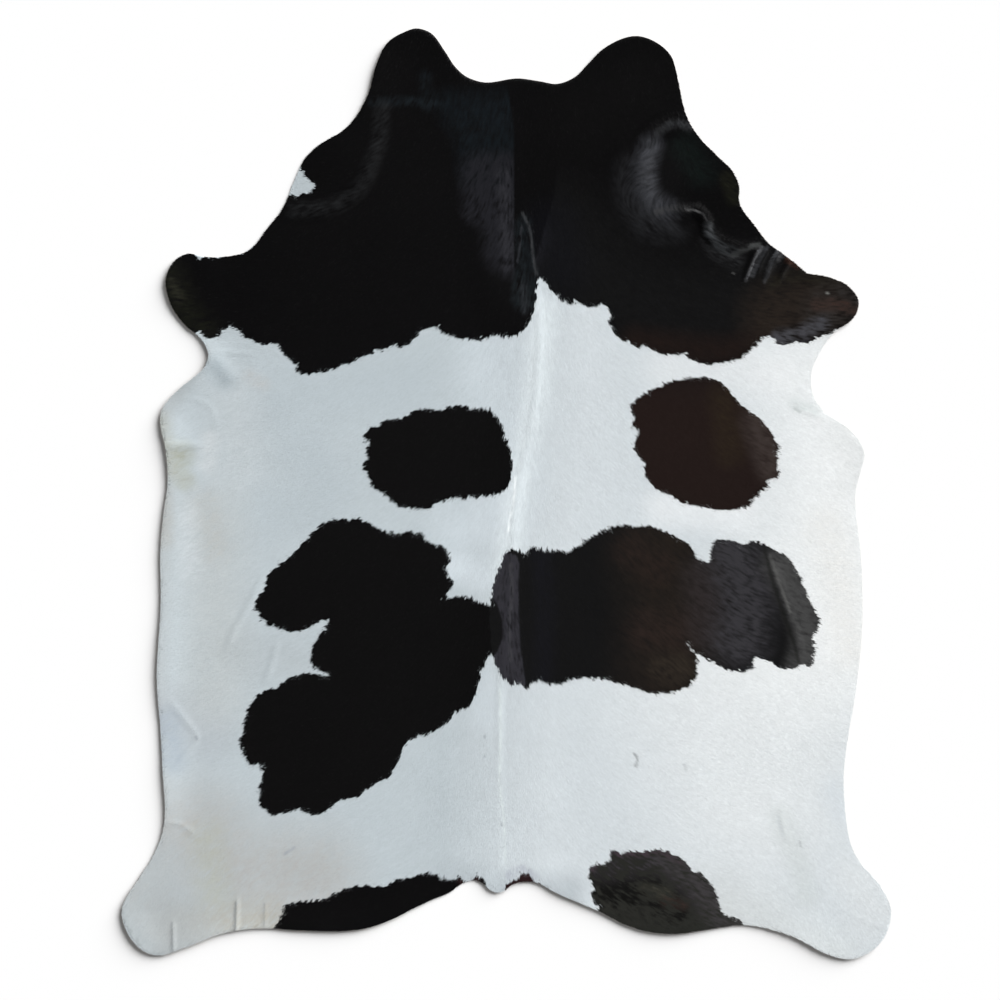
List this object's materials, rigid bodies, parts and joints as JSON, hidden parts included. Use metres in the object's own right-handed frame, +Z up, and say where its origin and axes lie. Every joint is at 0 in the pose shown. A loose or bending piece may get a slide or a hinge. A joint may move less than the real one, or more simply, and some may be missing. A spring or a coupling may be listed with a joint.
{
  "type": "cowhide rug",
  "caption": "Rug of a single hair-on hide in the animal's natural outline, lying flat with low folds and hem curls, black and white coat up.",
  "frame": {"origin": "on the floor, under the middle of the hide's extent in X and Y", "axes": "+Y from the tail to the neck along the spine, +Z up out of the coat"},
  "size_m": [1.8422, 2.23, 0.0142],
  "materials": {
    "hair_on_hide": "soft tanned hide with a short, smooth, slightly glossy coat"
  },
  "bodies": {
    "root": {"hide": "hair_on_hide"}
  },
  "joints": []
}
